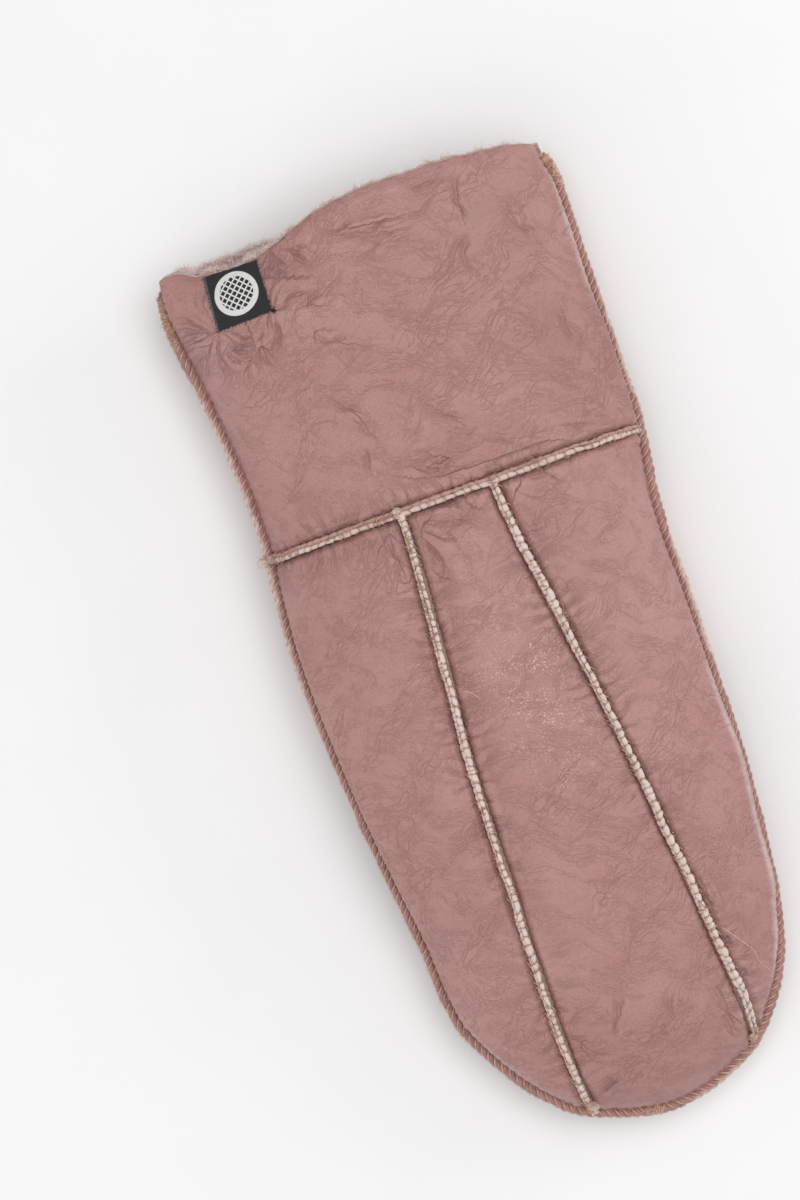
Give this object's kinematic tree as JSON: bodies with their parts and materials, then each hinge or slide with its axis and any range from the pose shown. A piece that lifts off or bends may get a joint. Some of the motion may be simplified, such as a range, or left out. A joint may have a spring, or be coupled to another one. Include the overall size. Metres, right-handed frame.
{
  "type": "mitten",
  "caption": "Shearling mitten for the right hand, lying palm down, with a long cuff, overcast seams and a thumb folded under the palm.",
  "frame": {"origin": "under the middle of the whole mitten, on the surface it lies on", "axes": "+X towards the thumb's side, +Y towards the mouth of the cuff, +Z from the palm to the back of the hand"},
  "size_m": [0.126, 0.2882, 0.0486],
  "materials": {
    "nappa": "soft satin nappa in dusty rose",
    "overcast_edge": "raw edges sewn over with waxed beige thread",
    "wool": "short combed wool",
    "label_cloth": "plain woven tape"
  },
  "bodies": {
    "root": {"back_cuff": "nappa", "back_outer_strip": "nappa", "back_middle_strip": "nappa", "back_thumb_side_strip": "nappa", "palm_cuff": "nappa", "palm_heel": "nappa", "palm_middle": "nappa", "palm_fingertips": "nappa", "thumb_outer": "nappa", "thumb_inner": "nappa", "back_cuff_seam": "overcast_edge", "back_outer_seam": "overcast_edge", "back_thumb_side_seam": "overcast_edge", "palm_cuff_seam": "overcast_edge", "palm_heel_seam": "overcast_edge", "palm_finger_seam": "overcast_edge", "thumb_seam": "overcast_edge", "side_seam": "overcast_edge", "wool_back": "wool", "wool_palm": "wool", "label": "label_cloth"}
  },
  "joints": []
}
